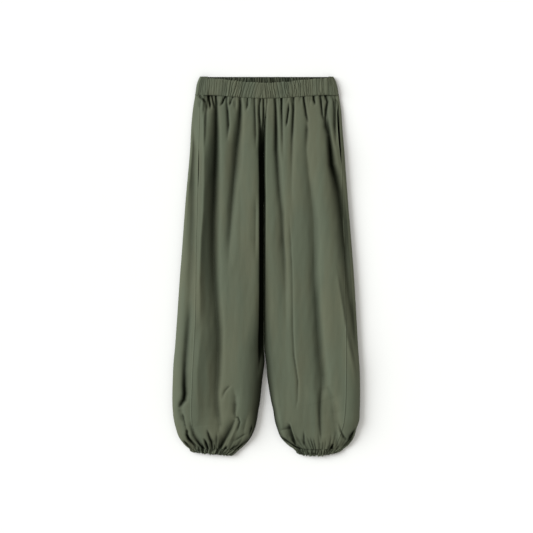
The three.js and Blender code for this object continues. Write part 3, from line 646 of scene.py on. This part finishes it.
def garment_heights():
    """Height of the garment's top on a regular grid, with the rounding of its outer edges left out."""
    heights = np.zeros((len(SKY_ROWS), SKY_COLUMNS.shape[1]))
    down, x = SKY_ROWS + 0 * SKY_COLUMNS, SKY_COLUMNS + 0 * SKY_ROWS
    for side, sign in SIDES.items():
        outer, _, width = leg_edges(side, down)
        from_inner = width - (outer - x) * sign
        _, z = leg_top(side, from_inner, down)
        across = (from_inner >= 0) & (from_inner <= width + SKY_MARGIN)
        inside = across & (down >= BAND_DEPTH) & (down <= ANKLE)
        rounding = 1 - arc((width - from_inner) / OUTER_ROLL)
        level = z + (leg_at("crown", down) - leg_at("turn", down)) * rounding
        heights[inside] = level[inside]
    heights[(down < BAND_DEPTH) & (np.abs(x) < BAND_END)] = BAND_HEIGHT
    return heights


def open_sky(heights):
    """Share of the light of an even sky that reaches each place of the grid, past the cloth around it."""
    rows, columns = heights.shape
    sky = np.zeros(heights.shape)
    for bearing in np.arange(SKY_BEARINGS) * 2 * math.pi / SKY_BEARINGS:
        horizon = np.zeros(heights.shape)
        for reach in SKY_REACHES:
            r = np.clip(np.arange(rows) + round(reach * math.sin(bearing)), 0, rows - 1)
            c = np.clip(np.arange(columns) + round(reach * math.cos(bearing)), 0, columns - 1)
            horizon = np.maximum(horizon, (heights[np.ix_(r, c)] - heights) / (reach * SKY_STEP))
        sky += 1 / (1 + horizon ** 2)
    return sky / SKY_BEARINGS


SKY = open_sky(garment_heights())


def hollow_shade(points):
    """Painted shade from 0 to 1 of places on the garment's top, from little sky, the slot and the gap below
    it.
    """
    x, down = points[:, :, 0], LENGTH / 2 - points[:, :, 1]
    column = np.clip((x - SKY_COLUMNS[0, 0]) / SKY_STEP, 0, SKY.shape[1] - 1.001)
    row = np.clip(down / SKY_STEP, 0, SKY.shape[0] - 1.001)
    c, r = column.astype(int), row.astype(int)
    u, v = column - c, row - r
    seen = ((SKY[r, c] * (1 - u) + SKY[r, c + 1] * u) * (1 - v)
            + (SKY[r + 1, c] * (1 - u) + SKY[r + 1, c + 1] * u) * v)
    slot = slot_share(x, down) * smooth(slot_at("depth", down) / SLOT_DARK_DEPTH)
    between = np.zeros(x.shape)
    for side, sign in SIDES.items():
        away = np.maximum(0, (x - leg_at(side + "_inner", down)) * sign)
        reach = at_down(BETWEEN_LEGS, SIDE_COLUMNS, side, down)
        on_leg = (x - (leg_at("right_inner", down) + leg_at("left_inner", down)) / 2) * sign > 0
        between = np.maximum(between, on_leg * BETWEEN_DARK * np.exp(-(away / np.maximum(reach, 0.1)) ** 2))
    hollow = 1 - np.clip((seen - SKY_BLACK) / (SKY_FULL - SKY_BLACK), 0, 1) ** SKY_POWER
    return np.maximum(np.maximum(slot, hollow), between)


PANEL_ROWS = 440
FRONT_COLUMNS = 112
poplin_cloth = poplin("olive_poplin")
fronts = {}
for side in SIDES:
    points = front_points(side, PANEL_ROWS, FRONT_COLUMNS)
    # Painted shade where little sky reaches, in the slot and between the legs
    shade = hollow_shade(points)
    front = cloth_wall("front_panel_" + side, poplin_cloth, points, (0, 0, 1), shade)
    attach(front, "root")
    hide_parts("front_" + side)
    fronts[side] = points

# Back leg panels
# The backs lie flat on the table and come round the outer edges to the side seams on the front.
BACK_COLUMNS = 76
OVER_COLUMNS = 90
UNDER_COLUMNS = 160
EDGE_CROWDING = 1.6
# Painted shade on the backs fades in from this height above the table over this rise
SHADE_FROM = 6.0
SHADE_RISE = 5.0


def underside(side, from_outer, down, inner_height):
    """x and z of the underside of a leg, flat on the table and rounded up at both edges."""
    outer, _, width = leg_edges(side, down)
    z = leg_at("turn", down) * (1 - arc(from_outer / UNDER_ROLL))
    z = z + inner_height * (1 - arc((width - from_outer) / UNDER_ROLL))
    return outer - np.sign(outer) * from_outer, z


def back_points(side, rows, columns):
    """Grid of a back panel's points, from the side seam over the outer edge and under to the centre."""
    down = leg_downs(rows)
    outer, _, width = leg_edges(side, down)
    wrap = np.abs(outer - side_seam_at(side, down))
    top = dipped_top(side, width - wrap * np.linspace(1, 0, OVER_COLUMNS) ** EDGE_CROWDING, down)
    from_outer = width * np.linspace(0, 1, UNDER_COLUMNS)[1:] ** EDGE_CROWDING
    front_edge = leg_top(side, 0 * down, down)[1] - SEAM_GAP
    inner_height = np.minimum(leg_at("inner", down), front_edge) * smooth((down - CROTCH) / CLOSING + 0.5)
    x, z = underside(side, from_outer, down, inner_height)
    under = np.stack([x, LENGTH / 2 - down + 0 * x, z], axis=2)
    return even_out(np.concatenate([top, under], axis=1), columns)


for side in SIDES:
    points = back_points(side, PANEL_ROWS, BACK_COLUMNS)
    away = np.stack([np.sign(points[:, :, 0]) * 0.5, 0 * points[:, :, 0], points[:, :, 2] - 10], axis=2)
    # Painted shade, left off near the table
    shade = hollow_shade(points) * smooth((points[:, :, 2] - SHADE_FROM) / SHADE_RISE)
    back = cloth_wall("back_panel_" + side, poplin_cloth, points, away, shade)
    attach(back, "root")
    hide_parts("back_" + side)

# Waistband, front half
# A poplin casing over wide elastic, sewn to the front panels. The elastic gathers it into some fifty uneven
# ribs with finer creases between them, which lean a little one way or the other.
CASING = 1.8
BAND_RISE = 12.0
BAND_OPEN = 12.0
BAND_RIBS = 50
BAND_CREASES = 103
CREASE_SHARE = 0.4
RIB_HEIGHT = 2.6
RIB_UNEVEN = 0.75
RIB_WANDER = 0.3
RIB_LEVELS = 4
EDGE_RIBS = 0.45
BAND_SINK = 1.4
BAND_SWELL = 1.2
BAND_NOTCHES = 2.4
BAND_SHADE = 0.62
# x and the lean of the ribs there, then x and how calm the elastic leaves the cloth there
RIB_LEANS = [(-151, 2), (-110, 6), (-70, 12), (-25, 12), (0, -6), (50, -8), (90, -3), (162, 0)]
RIB_CALM = [(-151, 0.3), (-142, 0.55), (-118, 0.5), (-104, 0.1), (-60, 0), (-22, 0.25), (-10, 0.25), (0, 0.1),
            (60, 0), (100, 0), (120, 0.35), (140, 0.15), (162, 0.4)]
BAND_SEAMS = {"right": -151.0, "left": 162.0}
BAND_ROWS = 34
BAND_COLUMNS = 470


def front_top_down(x):
    """How far down the front half's top edge lies. The back half shows above it."""
    return BAND_OPEN * (0.25 + (1 + np.cos(np.pi * np.minimum(1, np.abs(x) / BAND_END))) / 2)


def gathers(across, along, count, seed, sharp=2.0):
    """Height from 0 to 1 of ribs of uneven width that wander a little. Across and along run from 0 to 1."""
    rng = np.random.default_rng(seed)
    even = np.cumsum(np.concatenate([[0], rng.uniform(1 - RIB_UNEVEN, 1 + RIB_UNEVEN, count)]))
    even = even / even[-1]
    levels = [even + rng.uniform(-RIB_WANDER, RIB_WANDER, count + 1) / count for _ in range(RIB_LEVELS)]
    first_tops = rng.uniform(0.45, 1, count + 2)
    tops = [np.clip(first_tops + rng.uniform(-RIB_WANDER, RIB_WANDER, count + 2), 0.2, 1)
            for _ in range(RIB_LEVELS)]
    height = np.zeros(np.broadcast(across, along).shape)
    for row, t in enumerate(along[:, 0]):
        level = t * (RIB_LEVELS - 1)
        k = min(RIB_LEVELS - 2, int(level))
        blend = float(smooth(level - k))
        edges = np.sort(levels[k] * (1 - blend) + levels[k + 1] * blend)
        rise = tops[k] * (1 - blend) + tops[k + 1] * blend
        place = across[row] if across.shape[0] > 1 else across[0]
        i = np.clip(np.searchsorted(edges, place), 1, count)
        u = np.clip((place - edges[i - 1]) / np.maximum(edges[i] - edges[i - 1], 1e-4), 0, 1)
        height[row] = rise[i] * (1 - np.abs(2 * u - 1) ** sharp)
    return height


def casing_profile(along):
    """Rounding of a casing's folded edges, from 0 at an edge to 1 inside."""
    return arc(along / 0.07) * arc((1 - along) / 0.05)


casing_cloth = poplin("olive_casing")
along = np.linspace(0, 1, BAND_ROWS)[:, None]
across = np.linspace(0, 1, BAND_COLUMNS)[None, :]
band_width = BAND_SEAMS["left"] - BAND_SEAMS["right"]
x = BAND_SEAMS["right"] + SEAM_GAP / 2 + (band_width - SEAM_GAP) * across
lean = np.interp(x, *zip(*RIB_LEANS))
across = across - lean * (0.5 - along) / band_width
calm = np.interp(x, *zip(*RIB_CALM))
ribs = gathers(across, along, BAND_RIBS, 11, sharp=3.4)
creases = gathers(across, along, BAND_CREASES, 12)
ribs = 1 - (1 - ribs) * (1 - calm)
pleat = ribs - CREASE_SHARE * creases * (1 - 0.7 * calm)
profile = casing_profile(along)
z = BAND_RISE - BAND_SINK + RIB_HEIGHT * pleat * (EDGE_RIBS + (1 - EDGE_RIBS) * profile)
z = z + BAND_SWELL * profile
down = front_top_down(x) + (BAND_DEPTH + seam_dip(x) - SEAM_GAP - front_top_down(x)) * along
down = down + BAND_NOTCHES * (1 - ribs) * (1 - along) ** 8
front_half = np.stack([x + 0 * down, LENGTH / 2 - down, z], axis=2)
# Painted shade in the furrows between the ribs
shade = BAND_SHADE * (1 - ribs) ** 2
band_front = cloth_wall("waistband_front_half", casing_cloth, front_half, (0, 0, 1), shade, thickness=CASING)
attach(band_front, "root")
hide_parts("waistband_front")

# Waistband, back half
# The same casing round the back. It lies flat on the table, and comes round both ends to the side seams
# on the front. The ribs of its inside show above the front half.
BAND_ENDS = [(0, -173, 175), (17, -180, 183), (48, -185, 189)]
BACK_BAND_ROWS = 22
END_COLUMNS = 40
TURN_COLUMNS = 12
FLAT_COLUMNS = 400
BACK_RIBS = 78
BACK_CREASES = 151
INSIDE_SHADE = (0.34, 0.55)
OUTSIDE_SHADE = 0.3


def band_loop(down, seam_shift):
    """x and z of the back half, once round from the right seam by the back to the left seam."""
    half = BAND_RISE / 2
    right = at_down(BAND_ENDS, SIDE_COLUMNS, "right", down) + half
    left = at_down(BAND_ENDS, SIDE_COLUMNS, "left", down) - half
    end, flat = np.linspace(0, 1, END_COLUMNS), np.linspace(0, 1, FLAT_COLUMNS)[1:]
    turn = np.pi * (np.linspace(0, 1, TURN_COLUMNS)[1:] - 0.5)
    right_seam, left_seam = BAND_SEAMS["right"] + seam_shift, BAND_SEAMS["left"] - seam_shift
    x = [right_seam + (right - right_seam) * end, right - half * np.cos(turn), right + (left - right) * flat,
         left + half * np.cos(turn), left + (left_seam - left) * end[1:]]
    z = [BAND_RISE + 0 * end, half - half * np.sin(turn), 0 * flat, half + half * np.sin(turn),
         BAND_RISE + 0 * end[1:]]
    return np.concatenate(x), np.concatenate(z)


along = np.linspace(0, 1, BACK_BAND_ROWS)[:, None]
loops = [band_loop(down, -SEAM_GAP / 2) for down in along[:, 0] * (BAND_DEPTH - SEAM_GAP)]
x = np.array([loop[0] for loop in loops])
z = np.array([loop[1] for loop in loops])
across = np.linspace(0, 1, x.shape[1])[None, :] + 0 * along
creases = gathers(across, along, BACK_CREASES, 14)
ribs = gathers(across, along, BACK_RIBS, 13, sharp=3) - CREASE_SHARE * creases
y = LENGTH / 2 - along * (BAND_DEPTH - SEAM_GAP) + 0 * x
side_x, side_z = np.gradient(x, axis=1), np.gradient(z, axis=1)
size = np.hypot(side_x, side_z)
out = np.stack([side_z / size, 0 * x, -side_x / size], axis=2)
# Ribs show on the outside near the top, and on the inside near the table
show_outside = smooth((z - BAND_RISE + 3) / 2) * (0.2 + 0.3 * casing_profile(along))
show_inside = smooth((2 - z) / 2)
plain = np.stack([x, y, z], axis=2)
back_half = plain + out * (RIB_HEIGHT * ribs * show_outside)[:, :, None]
inner = plain - out * (CASING + RIB_HEIGHT * ribs * show_inside)[:, :, None]
# Painted shade in the furrows between the ribs, and over the flat part near the table, whose inside shows
# above the front half
furrows = (1 - ribs) ** 2
shade = np.where(z < 3, INSIDE_SHADE[0] + INSIDE_SHADE[1] * furrows, OUTSIDE_SHADE * furrows)
band_back = cloth_wall("waistband_back_half", casing_cloth, back_half, out, shade, inner=inner)
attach(band_back, "root")
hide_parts("waistband_back")

# Ankle casings
# Each hem is turned up into a narrow casing with elastic, a gathered ring that narrows to its lower edge.
CUFF_MEASURES = ("outer", "inner", "outer_down", "middle_down", "inner_down", "seed")
CUFFS = {"right": (-190, -89, 977, 983, 986, 21), "left": (186, 84, 977, 987, 982, 22)}
CUFF_CASING = 1.6
CUFF_RISE = 10.0
CUFF_RIBS = 38
CUFF_FINE_RIBS = 85
CUFF_FINE_SHARE = 0.4
CUFF_RIB_HEIGHT = 4.6
CUFF_RIB_MIDDLE = 0.35
CUFF_SWELL = 1.2
CUFF_SHADE = 1.2
CUFF_RIB_LIGHT = 1.5
CUFF_DARKEST = 0.94
HEM_SCALLOP = 9.0
CUFF_COLUMNS = 150
CUFF_ROWS = 14


def ring_shares():
    """Shares of a leg's width from its inner to its outer edge, closer together at both."""
    share = np.linspace(0, 1, CUFF_COLUMNS + 1)
    return 0.5 * share + 0.25 * (1 - np.cos(np.pi * share))


def leg_ring(side, down):
    """x and z of points once round a leg at one distance down, over the top and back underneath."""
    _, _, width = leg_edges(side, down)
    share = ring_shares()[None, :]
    top_x, top_z = leg_top(side, width * share, down + 0 * share)
    under_x, under_z = underside(side, width * share[:, 1:-1], down, leg_at("inner", down))
    return np.concatenate([top_x, under_x], axis=1)[0], np.concatenate([top_z, under_z], axis=1)[0]


cuff_tops = {}
for side in SIDES:
    cut = dict(zip(CUFF_MEASURES, CUFFS[side]))
    top_x, top_z = leg_ring(side, ANKLE + SEAM_GAP)
    share = np.concatenate([ring_shares(), ring_shares()[::-1][1:-1]])
    over = np.arange(len(share)) <= CUFF_COLUMNS
    hem_x = cut["inner"] + (cut["outer"] - cut["inner"]) * share
    sag = 4 * share * (1 - share) * (cut["middle_down"] - (cut["inner_down"] + cut["outer_down"]) / 2)
    hem_down = cut["inner_down"] + (cut["outer_down"] - cut["inner_down"]) * share + sag
    half = CUFF_RISE / 2
    bend = half * arc(np.minimum(share, 1 - share) * abs(cut["outer"] - cut["inner"]) / CUFF_RISE)
    hem_z = np.where(over, half + bend, half - bend)
    along = np.linspace(0, 1, CUFF_ROWS)[:, None]
    across = np.linspace(0, 1, len(share))[None, :] + 0 * along
    ribs = gathers(across, along, CUFF_RIBS, cut["seed"])
    fine = gathers(across, along, CUFF_FINE_RIBS, 23)
    ribs = (1 - CUFF_FINE_SHARE) * ribs + CUFF_FINE_SHARE * fine
    x = top_x + (hem_x - top_x) * along
    y = LENGTH / 2 - (ANKLE + SEAM_GAP) + (ANKLE + SEAM_GAP - hem_down) * along
    z = top_z + (hem_z - top_z) * along
    y = y + HEM_SCALLOP * (0.6 - ribs) * along ** 3 * smooth(5 * np.minimum(share, 1 - share))
    plain = np.stack([x, y, z], axis=2)
    out = grid_normals(plain, ring=True)
    if np.sum(out[:, over, 2]) < 0:
        out = -out
    raised = smooth((z - half) / 2) * np.sin(np.pi * (0.1 + 0.8 * along))
    height = CUFF_RIB_HEIGHT * (ribs - CUFF_RIB_MIDDLE) + CUFF_SWELL * along
    outer = plain + out * (height * raised)[:, :, None]
    inner = plain - out * CUFF_CASING
    inner[:, ~over, 2] = np.maximum(inner[:, ~over, 2], plain[:, ~over, 2] + CUFF_CASING / 2)
    # Painted shade between the gathers, lighter on the rib tops
    shade = np.clip(CUFF_SHADE - CUFF_RIB_LIGHT * ribs, 0, CUFF_DARKEST)
    cuff = cloth_wall("ankle_casing_" + side, casing_cloth, outer, out, shade, inner=inner, ring=True)
    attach(cuff, "root")
    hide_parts("cuff_" + side)
    cuff_tops[side] = outer[:, over]

# Pocket facings
# A strip of the same poplin just inside each pocket's slit in the side seam, painted wholly in shade so that
# the slit looks dark. It stands for the pocket bag, which is hidden.
STRIP_MARGIN = 8.0
STRIP_ROWS = 90
STRIP_COLUMNS = 16
STRIP_SPAN = (-11, 6)
STRIP_SINK = 2.4

for side in SIDES:
    start, end, _ = POCKETS[side]
    down = np.linspace(start - STRIP_MARGIN, end + STRIP_MARGIN, STRIP_ROWS)[:, None]
    from_inner = seam_reach(side, down) + np.linspace(*STRIP_SPAN, STRIP_COLUMNS)[None, :]
    x, z = leg_top(side, from_inner, down + 0 * from_inner)
    points = np.stack([x, LENGTH / 2 - down + 0 * x, z], axis=2)
    normals = grid_normals(points)
    normals = normals * np.sign(normals[:, :, 2:])
    outer = points - STRIP_SINK * normals
    # Painted shade over the whole strip, which darkens it to the shade colour
    facing = cloth_wall("pocket_strip_" + side, poplin_cloth, outer, (0, 0, 1), 1 + 0 * x)
    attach(facing, "root")
    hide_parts("pocket_facing_" + side)

# Seam stitches
# Lock stitches in a thread a little lighter than the poplin: one row beside the waistband's seam, one along
# each ankle casing's top, and the edge stitching along each pocket's slit.
STITCH_PITCH = 3.0
STITCH_LENGTH = 2.3
THREAD = 0.34
STITCH_RISE = 0.1
THREAD_LIT = (0.082, 0.092, 0.062, 1)
# Rows and columns of the cloth's grids that the stitches follow, and how far they go past a pocket's slit
BAND_STITCH_ROW = -3
CUFF_STITCH_ROW = 2
POCKET_STITCH_COLUMN = -4
POCKET_STITCH_PAST = 6.0


def stitch_nodes():
    """Geometry nodes that lay one stitch after another along a path."""
    tree = bpy.data.node_groups.new("stitch_row", "GeometryNodeTree")
    for name, way, kind in (
            ("Path", "INPUT", "Geometry"),
            ("Pitch", "INPUT", "Float"),
            ("Stitch Length", "INPUT", "Float"),
            ("Thread Width", "INPUT", "Float"),
            ("Thread", "INPUT", "Material"),
            ("Stitches", "OUTPUT", "Geometry")):
        tree.interface.new_socket(name, in_out=way, socket_type="NodeSocket" + kind)
    new = tree.nodes.new
    given = new("NodeGroupInput")
    result = new("NodeGroupOutput")
    curve = new("GeometryNodeMeshToCurve")
    spots = new("GeometryNodeCurveToPoints")
    spots.mode = "LENGTH"
    bead = new("GeometryNodeMeshUVSphere")
    for entry, value in (("Segments", 6), ("Rings", 5), ("Radius", 0.5)):
        bead.inputs[entry].default_value = value
    shape = new("ShaderNodeCombineXYZ")
    placed = new("GeometryNodeInstanceOnPoints")
    real = new("GeometryNodeRealizeInstances")
    dyed = new("GeometryNodeSetMaterial")
    for source, output, target, entry in (
            (given, "Path", curve, "Mesh"),
            (curve, "Curve", spots, "Curve"),
            (given, "Pitch", spots, "Length"),
            (given, "Thread Width", shape, "X"),
            (given, "Thread Width", shape, "Y"),
            (given, "Stitch Length", shape, "Z"),
            (spots, "Points", placed, "Points"),
            (spots, "Rotation", placed, "Rotation"),
            (bead, "Mesh", placed, "Instance"),
            (shape, "Vector", placed, "Scale"),
            (placed, "Instances", real, "Geometry"),
            (real, "Geometry", dyed, "Geometry"),
            (given, "Thread", dyed, "Material"),
            (dyed, "Geometry", result, "Stitches")):
        tree.links.new(source.outputs[output], target.inputs[entry])
    return tree


thread = poplin("olive_thread", lit=THREAD_LIT, weave=0)
stitches = stitch_nodes()


def stitch_row(name, path):
    """A row of stitches along a path of points, in millimetres."""
    guide = bpy.data.meshes.new(name + "_path")
    guide.from_pydata((path / 1000).tolist(), [(i, i + 1) for i in range(len(path) - 1)], [])
    row = bpy.data.objects.new(name, guide)
    bpy.context.collection.objects.link(row)
    modifier = row.modifiers.new("stitch_row", "NODES")
    modifier.node_group = stitches
    sizes = {"Pitch": STITCH_PITCH / 1000, "Stitch Length": STITCH_LENGTH / 1000,
             "Thread Width": THREAD / 1000, "Thread": thread}
    for socket in stitches.interface.items_tree:
        if socket.name in sizes:
            modifier[socket.identifier] = sizes[socket.name]
    stitched = bpy.data.meshes.new_from_object(row.evaluated_get(bpy.context.evaluated_depsgraph_get()))
    row.modifiers.remove(modifier)
    row.data = stitched
    stitched.polygons.foreach_set("use_smooth", [True] * len(stitched.polygons))
    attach(row, "root")


lift = (0, 0, STITCH_RISE)
stitch_row("waist_stitches_front", front_half[BAND_STITCH_ROW] + lift)
path = back_half[BAND_STITCH_ROW] + lift
path = path[path[:, 2] > BAND_RISE - 1]
for side, sign in SIDES.items():
    stitch_row("waist_stitches_" + side, path[path[:, 0] * sign > 0])
for side in SIDES:
    start, end, _ = POCKETS[side]
    edge = fronts[side][:, POCKET_STITCH_COLUMN]
    down = LENGTH / 2 - edge[:, 1]
    beside = (down > start - POCKET_STITCH_PAST) & (down < end + POCKET_STITCH_PAST)
    stitch_row("pocket_stitches_" + side, edge[beside] + lift)
    top = cuff_tops[side][CUFF_STITCH_ROW]
    stitch_row("ankle_stitches_" + side, top + lift)
